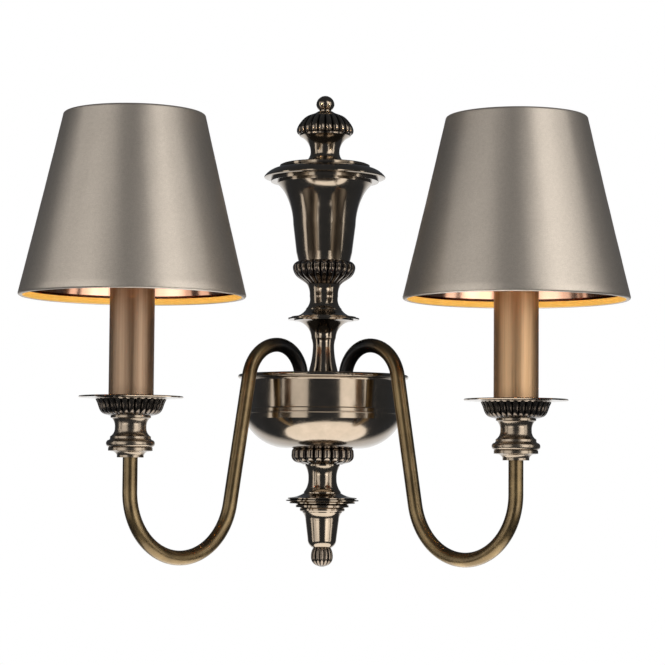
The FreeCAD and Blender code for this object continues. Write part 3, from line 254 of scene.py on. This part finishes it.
# the parts inside, their patches in mm
smallFinishes = {
    # zinc plated steel of rod, nuts, bracket and stems: dull silver with faint crystals
    "zinc_plated_steel": {"tones": ["#8d8f90", "#a3a5a5", "#b7b8b6"], "patches": 5,
                          "roughness": (0.3, 0.45), "metallic": 1.0},
    # brass plated spring wire of the shades' rings and clips, bright and drawn
    "brass_plated_wire": {"tones": ["#a98d52", "#bd9f60", "#cdb277"], "patches": 4,
                          "roughness": (0.2, 0.3), "metallic": 1.0},
    # phenolic lampholder, moulded, ivory with a soft shine
    "ivory_phenolic": {"tones": ["#d6d1c2", "#dcd8ca", "#e3dfd2"], "patches": 9,
                       "roughness": (0.35, 0.45), "metallic": 0.0},
    # rolled bulb cap, bare aluminium
    "rolled_aluminium": {"tones": ["#b3b4b6", "#bfc0c2", "#cbccce"], "patches": 6,
                         "roughness": (0.25, 0.35), "metallic": 1.0},
    # PVC sheath of the leads, matt
    "pvc_sheath": {"tones": ["#cfc5ac", "#d7ceb6", "#dfd7c1"], "patches": 7,
                   "roughness": (0.5, 0.6), "metallic": 0.0},
    # nylon terminal block, milky and matt
    "moulded_nylon": {"tones": ["#d8d8d3", "#e0e0db", "#e6e6e2"], "patches": 6,
                      "roughness": (0.45, 0.55), "metallic": 0.0},
    # turned brass of the screws, bright
    "screw_brass": {"tones": ["#a8883f", "#b8964b", "#c8a65a"], "patches": 3,
                    "roughness": (0.2, 0.3), "metallic": 1.0},
    # cloth tape dyed gold, matt and thin, with a painted glow: its emission stands in for the bulb's light
    # falling on it, and shows as a thin amber line round the shade's lower rim
    "gold_cotton_tape": {"tones": ["#f3ca66", "#f7d070", "#fad67c"], "patches": 6,
                         "roughness": (0.6, 0.7), "metallic": 0.0, "glow": 0.6, "glowColour": "#f5bc58"},
}


def smallFinish(name, look):
    material, tree = newMaterial(name)
    place = addNode(tree, "ShaderNodeTexCoord").outputs["Object"]
    colour, patches = mottled(tree, place, look["tones"], look["patches"])
    # a finish's glow is an emission; on the tape it is painted light from the bulb
    shader = addNode(tree, "ShaderNodeBsdfPrincipled",
                     {"Metallic": look["metallic"], "Emission Strength": look.get("glow", 0.0),
                      "Emission Color": linear(look.get("glowColour", "#ffffff"))},
                     {"Base Color": colour, "Roughness": between(tree, patches, *look["roughness"])})
    finishMaterial(tree, shader)
    return material


small = {name: smallFinish(name, look) for name, look in smallFinishes.items()}

# opal glass bulb, blown, lit: milk white and smooth, with a warm glow through the whole glass
opalBulb = {
    "tones": ["#efece2", "#f2efe7", "#f6f4ee"],
    "patches": 12,             # mm across
    "roughness": (0.1, 0.16),
    "ior": 1.5,
    "milk": 0.25,              # how much light the milky glass spreads inside
    "milkDepth": 0.002,        # m
    "gloss": 0.3,
    "glow": 0.85,
    "glowColour": "#ffcf8f",
}


def glassFinish(name, look):
    material, tree = newMaterial(name)
    place = addNode(tree, "ShaderNodeTexCoord").outputs["Object"]
    colour, patches = mottled(tree, place, look["tones"], look["patches"])
    shader = addNode(tree, "ShaderNodeBsdfPrincipled",
                     {"IOR": look["ior"], "Subsurface Weight": look["milk"],
                      "Subsurface Scale": look["milkDepth"], "Coat Weight": look["gloss"],
                      "Emission Color": linear(look["glowColour"]), "Emission Strength": look["glow"]},
                     {"Base Color": colour, "Roughness": between(tree, patches, *look["roughness"])})
    finishMaterial(tree, shader)
    return material


opalGlass = glassFinish("opal_glass_blown", opalBulb)
print("small finishes ready")


# the shades' making, in mm: each cover is one cloth rolled over its two wires, with a facing of film and a
# gold tape inside the lower roll
shadeCut = {
    "foot": 76.0, "head": 47.9, "height": 123.0,   # radii and height
    "roll": 1.7, "cloth": 0.8, "tail": 3.0,        # radius of a roll, thickness, and what is tucked in
    "ease": 0.1,               # how far the cloth lies inside those sizes
    "sag": 0.25,               # how far the wires' pull draws it in at mid height
    "ripples": ((0.03, 9), (0.025, 23)),           # depth, and how many go round
    "seamWidth": 8.0, "seamRise": 0.45, "seamFade": 1.2,
    "seamTurn": {"left": 12.0, "right": -15.0},    # degrees from straight back, toward the column
    "film": 0.1, "tape": 0.2, "gap": 0.04,         # thicknesses, and the glue under them
    "tapeTop": 4.5,            # how high the tape reaches inside
    "tapeEnd": 220,            # degrees round the roll, from straight out
    "facing": [(-2.3, 1.7), (-2.07, 0.7), (-3.09, 0.25), (-3.44, -0.1)],   # from the foot and the tail's end
    "steps": 240, "rows": 24,  # faces round and up the cone
}

# taupe satin on a stiff backing: the smooth face of the weave shines a little like brushed metal, so it is
# light where it faces the lamps and dark towards its sides, with a fine grain of threads
taupeSatin = {
    "threads": ["#b9b0a5", "#c4bbb0", "#cfc6bb"],
    "thread": 0.8,             # mm, and the gap beside it too, coarser than real so that they show
    "threadWaver": 1.2,
    "threadDepth": 0.05,       # mm
    "threadStrength": 0.25,
    "slub": 2.4,               # mm, the yarn's uneven spots
    "fibre": 0.7,              # mm, the grain over them
    "fibreShare": 0.6,
    "silk": 0.85,              # how much of the light the threads throw back as from metal
    "roughness": 0.42,
    "shine": 0.3,
}

# copper metallised film behind the cloth: a warm mirror, softened by its slight ripple
copperFilm = {
    "tones": ["#c3937a", "#cfa188", "#daaf97"],
    "patches": 22,             # mm across
    "roughness": (0.1, 0.18),
    "ripple": 12,              # mm across
    "rippleDepth": 0.1,        # mm
    "rippleStrength": 0.1,
}


def satinFinish(name, look):
    material, tree = newMaterial(name)
    cloth = addNode(tree, "ShaderNodeUVMap", {"uv_map": "weave"}).outputs["UV"]
    bandScale = 1 / (look["thread"] * mm) / 20 * math.pi   # a wave texture turns 20 radians in each unit
    across, along = [addNode(tree, "ShaderNodeTexWave",
                             {"wave_type": "BANDS", "bands_direction": direction, "Scale": bandScale,
                              "Distortion": look["threadWaver"], "Detail": 1.0, "Detail Scale": 2.0},
                             {"Vector": cloth})
                     for direction in "XY"]
    weave = addNode(tree, "ShaderNodeMath", {"operation": "MULTIPLY"},
                    {0: across.outputs["Fac"], 1: along.outputs["Fac"]})
    slub = addNode(tree, "ShaderNodeTexNoise",
                   {"Scale": 1 / (look["slub"] * mm), "Detail": 3.0, "Roughness": 0.6}, {"Vector": cloth})
    fibre = addNode(tree, "ShaderNodeTexNoise", {"Scale": 1 / (look["fibre"] * mm), "Detail": 2.0},
                    {"Vector": cloth})
    grain = addNode(tree, "ShaderNodeMix", {"data_type": "FLOAT", 0: look["fibreShare"]},
                    {2: slub.outputs["Fac"], 3: fibre.outputs["Fac"]})
    ramp = addNode(tree, "ShaderNodeValToRGB", links={"Fac": grain.outputs[0]})
    band = ramp.color_ramp
    band.elements[0].position, band.elements[1].position = 0.3, 0.7
    band.elements[0].color, band.elements[1].color = linear(look["threads"][0]), linear(look["threads"][2])
    band.elements.new(0.5).color = linear(look["threads"][1])
    bump = addNode(tree, "ShaderNodeBump",
                   {"Strength": look["threadStrength"], "Distance": look["threadDepth"] * mm},
                   {"Height": weave.outputs[0]})
    shader = addNode(tree, "ShaderNodeBsdfPrincipled",
                     {"Metallic": look["silk"], "Roughness": look["roughness"],
                      "Specular IOR Level": look["shine"]},
                     {"Base Color": ramp.outputs[0], "Normal": bump.outputs[0]})
    finishMaterial(tree, shader)
    return material


def filmFinish(name, look):
    material, tree = newMaterial(name)
    place = addNode(tree, "ShaderNodeTexCoord").outputs["Object"]
    colour, patches = mottled(tree, place, look["tones"], look["patches"], 2.0)
    ripple = addNode(tree, "ShaderNodeTexNoise", {"Scale": 1 / (look["ripple"] * mm), "Detail": 1.0},
                     {"Vector": place})
    bump = addNode(tree, "ShaderNodeBump",
                   {"Strength": look["rippleStrength"], "Distance": look["rippleDepth"] * mm},
                   {"Height": ripple.outputs["Fac"]})
    shader = addNode(tree, "ShaderNodeBsdfPrincipled", {"Metallic": 1.0},
                     {"Base Color": colour, "Roughness": between(tree, patches, *look["roughness"]),
                      "Normal": bump.outputs[0]})
    finishMaterial(tree, shader)
    return material


satin = satinFinish("taupe_satin_woven", taupeSatin)
film = filmFinish("copper_film_metallised", copperFilm)


def arcPoints(cx, cz, radius, start, end, count=8):
    points = []
    for index in range(count + 1):
        angle = math.radians(start + (end - start) * index / count)
        points.append((cx + radius * math.cos(angle), cz + radius * math.sin(angle)))
    return points


def coverOutline(cut):
    # out of the lower roll, up the cloth's face and into the upper roll, then back along the inside
    foot, head, height = cut["foot"], cut["head"], cut["height"]
    roll, cloth, tail = cut["roll"], cut["cloth"], cut["tail"]
    hollow = roll - cloth
    face = []
    for index in range(1, cut["rows"]):
        share = index / cut["rows"]
        face.append((foot + (head - foot) * share, roll + (height - 2 * roll) * share))
    outline = [(foot - 2 * roll, roll + tail)]
    outline += arcPoints(foot - roll, roll, roll, 180, 360)
    outline += face
    outline += arcPoints(head - roll, height - roll, roll, 0, 180)
    outline += [(head - 2 * roll, height - roll - tail), (head - 2 * roll + cloth, height - roll - tail)]
    outline += arcPoints(head - roll, height - roll, hollow, 180, 0)
    outline += [(head - cloth, height - roll)]
    outline += [(r - cloth, z) for r, z in reversed(face)]
    outline += arcPoints(foot - roll, roll, hollow, 0, -180)
    outline += [(foot - 2 * roll + cloth, roll + tail)]
    return outline


def spun(name, outline, place, finish, steps, start=0.0, reachAt=None):
    # a closed outline of (radius, height) in mm, carried round an upright axis at the place
    along = [0.0]
    for (r0, z0), (r1, z1) in zip(outline, outline[1:]):
        along.append(along[-1] + math.hypot(r1 - r0, z1 - z0))
    mesh = bmesh.new()
    weave = mesh.loops.layers.uv.new("weave")
    rings = []
    for step in range(steps):
        angle = start + 2 * math.pi * step / steps
        ring = []
        for index, (r, z) in enumerate(outline):
            reach = (reachAt(angle, index, r, z) if reachAt else r) * mm
            spot = Vector((reach * math.cos(angle), reach * math.sin(angle), z * mm))
            ring.append(mesh.verts.new(place + spot))
        rings.append(ring)
    middle = sum(r for r, z in outline) / len(outline) * mm
    for step in range(steps):
        here, there = rings[step], rings[(step + 1) % steps]
        for index in range(len(outline)):
            after = (index + 1) % len(outline)
            face = mesh.faces.new((here[index], there[index], there[after], here[after]))
            face.smooth = True
            corners = ((step, index), (step + 1, index), (step + 1, after), (step, after))
            for loop, (u, v) in zip(face.loops, corners):
                loop[weave].uv = (2 * math.pi * u / steps * middle, along[v] * mm)
    mesh.normal_update()
    data = bpy.data.meshes.new(name)
    mesh.to_mesh(data)
    mesh.free()
    data.materials.append(finish)
    piece = bpy.data.objects.new(name, data)
    bpy.context.scene.collection.objects.link(piece)
    return piece


def clothReach(cut, side, points):
    # how far out the cloth lies at each turn and height, and where its seam is
    seam = math.radians(90 + cut["seamTurn"][side])
    half = cut["seamWidth"] / 2
    (broad, broadCount), (fine, fineCount) = cut["ripples"]

    def reachAt(angle, index, r, z):
        if index > points / 2 or not cut["roll"] < z < cut["height"] - cut["roll"]:
            return r - cut["ease"]
        # the overlap: the cloth steps up over the seam and fades at its edges
        signed = ((angle - seam + math.pi) % (2 * math.pi) - math.pi) * r
        lift = cut["seamRise"] * max(0.0, min(1.0, (half - abs(signed)) / cut["seamFade"]))
        sag = cut["sag"] * math.sin(math.pi * z / cut["height"])
        wander = broad * math.sin(angle * broadCount + r) + fine * math.sin(angle * fineCount + 1.3 * z)
        return r - cut["ease"] + lift - sag - wander

    return seam, reachAt


def stripOutline(path, thickness):
    # a closed outline of a thin strip, from its back: a path of (radius, height) from the top down
    face = []
    for index, (r, z) in enumerate(path):
        (r0, z0), (r1, z1) = path[max(index - 1, 0)], path[min(index + 1, len(path) - 1)]
        length = math.hypot(r1 - r0, z1 - z0)
        face.append((r + (z1 - z0) / length * thickness, z - (r1 - r0) / length * thickness))
    return path + face[::-1]


def facingPath(cut):
    # the film carries on from the lining's foot over the cloth's turned edge, down to the tape
    top = cut["roll"] + cut["tail"]
    path = [(cut["foot"] + out, top + up) for out, up in cut["facing"]]
    return path + [(path[-1][0], cut["tapeTop"])]


def tapePath(cut):
    # the tape binds the inside of the rolled wire
    around = cut["roll"] + cut["gap"]
    return [(cut["foot"] - cut["roll"] - around, cut["tapeTop"])] + arcPoints(
        cut["foot"] - cut["roll"], cut["roll"], around, 180, cut["tapeEnd"])


for side in sides:
    place = centreOf(f"shade_cover_{side}")
    place.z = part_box(f"shade_cover_{side}")[0].z
    outline = coverOutline(shadeCut)
    seam, reachAt = clothReach(shadeCut, side, len(outline))
    cover = spun(f"shade_cloth_{side}", outline, place, satin, shadeCut["steps"], seam, reachAt)
    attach(cover, f"shade_{side}")
    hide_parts(f"shade_cover_{side}")
    facing = spun(f"shade_facing_{side}", stripOutline(facingPath(shadeCut), shadeCut["film"]), place, film,
                  shadeCut["steps"])
    tape = spun(f"shade_tape_{side}", stripOutline(tapePath(shadeCut), shadeCut["tape"]), place,
                small["gold_cotton_tape"], shadeCut["steps"])
    for strip in (facing, tape):
        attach(strip, f"shade_{side}")
print("shades covered")

finishOf = {name: bronze for name in parts}
finishOf.update(reededBronze)
finishOf.update({name: small["zinc_plated_steel"] for name in ("centre_rod", "rod_nuts", "wall_bracket")})
finishOf["terminal_block"] = small["moulded_nylon"]
finishOf["terminal_screws"] = finishOf["earth_screw"] = small["screw_brass"]
for side in sides:
    finishOf[f"arm_{side}"] = armBrass
    finishOf[f"cup_base_{side}"] = cupBronze
    finishOf[f"candle_sleeve_{side}"] = sleeveMetal[side]
    finishOf[f"stem_{side}"] = finishOf[f"stem_nut_{side}"] = small["zinc_plated_steel"]
    finishOf[f"lampholder_{side}"] = small["ivory_phenolic"]
    finishOf[f"lead_{side}"] = small["pvc_sheath"]
    finishOf[f"bulb_cap_{side}"] = small["rolled_aluminium"]
    finishOf[f"bulb_glass_{side}"] = opalGlass
    finishOf[f"shade_cover_{side}"] = satin
    finishOf[f"shade_lining_{side}"] = film
    finishOf[f"shade_rings_{side}"] = finishOf[f"bulb_clip_{side}"] = small["brass_plated_wire"]
for name, finish in finishOf.items():
    data = parts[name].data
    if not data.materials:
        data.materials.append(finish)
    for index in range(len(data.materials)):
        data.materials[index] = finish
print("finishes on")

# softboxes round the front, each at its turn from straight ahead and its rise in degrees, its width and
# height in metres, its light, and which surfaces take it: metal and satin mirror the upright ones and the
# high one, and the front one lights what is matt
softboxes = {
    "panel_left": (-44, 4, 1.15, 1.8, 1.3, "shiny"),
    "edge_left": (-80, 4, 0.34, 1.8, 1.5, "shiny"),
    "panel_right": (43, 4, 0.95, 1.8, 2.1, "shiny"),
    "edge_right": (72, 4, 0.34, 1.8, 1.8, "shiny"),
    "high": (34, 38, 0.6, 0.5, 1.2, "shiny"),
    "front": (20, 38, 1.1, 1.1, 1.2, "matt"),
}
studio = {
    "target": (0, -0.10, 0.05),      # where the softboxes point
    "reach": 1.5,                    # m from there to each of them
    "lampTint": (1.0, 0.97, 0.93),
    "room": "#8f8c88",               # the studio's soft light, as it reaches matt surfaces and the floor
    "corners": "#44484e",            # and as the metal mirrors it
    "sweep": (0, 1, -0.45),          # where the backdrop's middle lies: behind, and a little below
    "sweepFrom": 0.88,               # how nearly a mirrored ray has to point there to begin to meet it
    "floorDrop": 0.34,               # m
    "floorReach": 1.6,               # m each way
    "floor": "#ecebe8",
    "paperRise": 0.005,              # m, the lit patches over the floor
}
target = Vector(studio["target"])


def softbox(name, place, aim, width, height, radiance, taker, shape="RECTANGLE"):
    lamp = bpy.data.lights.new(name, "AREA")
    lamp.shape = shape
    lamp.size, lamp.size_y = width, height
    lamp.energy = radiance * math.pi * width * height
    lamp.color = studio["lampTint"]
    box = bpy.data.objects.new(name, lamp)
    box.location = place
    box.rotation_euler = (aim - place).to_track_quat("-Z", "Y").to_euler()
    box.visible_camera = False
    box.visible_diffuse = taker == "matt"
    box.visible_glossy = taker == "shiny"
    bpy.context.scene.collection.objects.link(box)


for name, (turn, rise, width, height, light, taker) in softboxes.items():
    turn, rise = math.radians(turn), math.radians(rise)
    heading = Vector((math.sin(turn) * math.cos(rise), -math.cos(turn) * math.cos(rise), math.sin(rise)))
    softbox(name, target + heading * studio["reach"], target, width, height, light, taker)

# lit patches of the paper floor, which the undersides and the shades' linings mirror: how far each lies to
# the right and in front, its width and depth in metres, its light and shape
litPaper = {
    "paper_below": (0.03, 0.09, 0.52, 0.46, 1.8, "ELLIPSE"),
    "paper_left": (-0.75, 1.0, 0.8, 0.4, 1.5, "RECTANGLE"),
    "paper_right": (0.75, 1.0, 0.8, 0.4, 1.5, "RECTANGLE"),
}
for name, (across, ahead, width, depth, light, shape) in litPaper.items():
    spot = Vector((across, -ahead, studio["paperRise"] - studio["floorDrop"]))
    softbox(name, spot, spot + Vector((0, 0, 1)), width, depth, light, "shiny", shape)

# what the lit bulbs give off: a warm glow from just over each glass, which reaches the copper lining and the
# tape at the lower rim; a bulb only turns about its own axis, so its glow stays put
bulbGlow = {"power": 0.16, "colour": "#ffe2b8", "radius": 6 * mm, "overGlass": 9 * mm}
for side in sides:
    glow = bpy.data.lights.new(f"bulb_glow_{side}", "POINT")
    glow.energy = bulbGlow["power"]
    glow.color = linear(bulbGlow["colour"])[:3]
    glow.shadow_soft_size = bulbGlow["radius"]
    source = bpy.data.objects.new(f"bulb_glow_{side}", glow)
    source.location = centreOf(f"bulb_glass_{side}")
    source.location.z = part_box(f"bulb_glass_{side}")[1].z + bulbGlow["overGlass"]
    source.visible_camera = False
    bpy.context.scene.collection.objects.link(source)

world = bpy.data.worlds.new("white_backdrop")
bpy.context.scene.world = world
world.use_nodes = True
sky = world.node_tree
sky.nodes.clear()
rays = addNode(sky, "ShaderNodeLightPath").outputs
# the backdrop stands behind the object and sweeps forward under it: white to the camera everywhere, and
# seen white by metal and glass in the part of the room that it fills
direction = addNode(sky, "ShaderNodeTexCoord").outputs["Generated"]
facing = addNode(sky, "ShaderNodeVectorMath", {"operation": "DOT_PRODUCT", 1: studio["sweep"]},
                 {0: direction})
behind = addNode(sky, "ShaderNodeMapRange",
                 {"From Min": studio["sweepFrom"], "From Max": 1.0, "To Min": 0.0, "To Max": 1.0},
                 {"Value": facing.outputs["Value"]})
mirrored = addNode(sky, "ShaderNodeMath", {"operation": "MULTIPLY"},
                   {0: rays["Is Glossy Ray"], 1: behind.outputs[0]})
seen = addNode(sky, "ShaderNodeMath", {"operation": "MAXIMUM"},
               {0: rays["Is Camera Ray"], 1: mirrored.outputs[0]})
white = addNode(sky, "ShaderNodeMath", {"operation": "MAXIMUM"},
                {0: seen.outputs[0], 1: rays["Is Transmission Ray"]})
room = addNode(sky, "ShaderNodeMix",
               {"data_type": "RGBA", 6: linear(studio["room"]), 7: linear(studio["corners"])},
               {0: rays["Is Glossy Ray"]})
shade = addNode(sky, "ShaderNodeMix", {"data_type": "RGBA", 7: (1, 1, 1, 1)},
                {0: white.outputs[0], 6: room.outputs[2]})
backdrop = addNode(sky, "ShaderNodeBackground", {"Strength": 1.0}, {"Color": shade.outputs[2]})
addNode(sky, "ShaderNodeOutputWorld", links={"Surface": backdrop.outputs[0]})

floorData = bpy.data.meshes.new("floor")
half, floorZ = studio["floorReach"], -studio["floorDrop"]
corners = ((-half, -half), (half, -half), (half, half), (-half, half))
floorData.from_pydata([(x, y, floorZ) for x, y in corners], [], [(0, 1, 2, 3)])
floor = bpy.data.objects.new("floor", floorData)
bpy.context.scene.collection.objects.link(floor)
paper, paperTree = newMaterial("pale_paper_floor")
paperShader = addNode(paperTree, "ShaderNodeBsdfPrincipled",
                      {"Base Color": linear(studio["floor"]), "Roughness": 0.8})
finishMaterial(paperTree, paperShader)
floorData.materials.append(paper)
floor.is_shadow_catcher = True
floor.visible_glossy = False   # the metal mirrors the backdrop's sweep instead
print("studio lit")

# the camera, at the photograph's place: place in metres, turns in radians
view = {"place": (-0.005, -1.631, -0.0488), "yaw": 0.0072, "pitch": 0.0640, "roll": 0.0076,
        "focalPixels": 2200, "framePixels": 665, "sensor": 36}
forward = Vector((math.sin(view["yaw"]) * math.cos(view["pitch"]),
                  math.cos(view["yaw"]) * math.cos(view["pitch"]), math.sin(view["pitch"])))
level = Vector((math.cos(view["yaw"]), -math.sin(view["yaw"]), 0))
above = level.cross(forward)
right = level * math.cos(view["roll"]) + above * math.sin(view["roll"])
top = right.cross(forward)
lens = bpy.data.cameras.new("camera")
lens.sensor_width = view["sensor"]
lens.lens = view["focalPixels"] / view["framePixels"] * lens.sensor_width
camera = bpy.data.objects.new("camera", lens)
bpy.context.scene.collection.objects.link(camera)
camera.matrix_world = Matrix.Translation(view["place"]) @ Matrix((right, top, -forward)).transposed().to_4x4()
bpy.context.scene.camera = camera
bpy.context.scene.view_settings.view_transform = "Standard"
print("camera set")

bpy.context.view_layer.update()
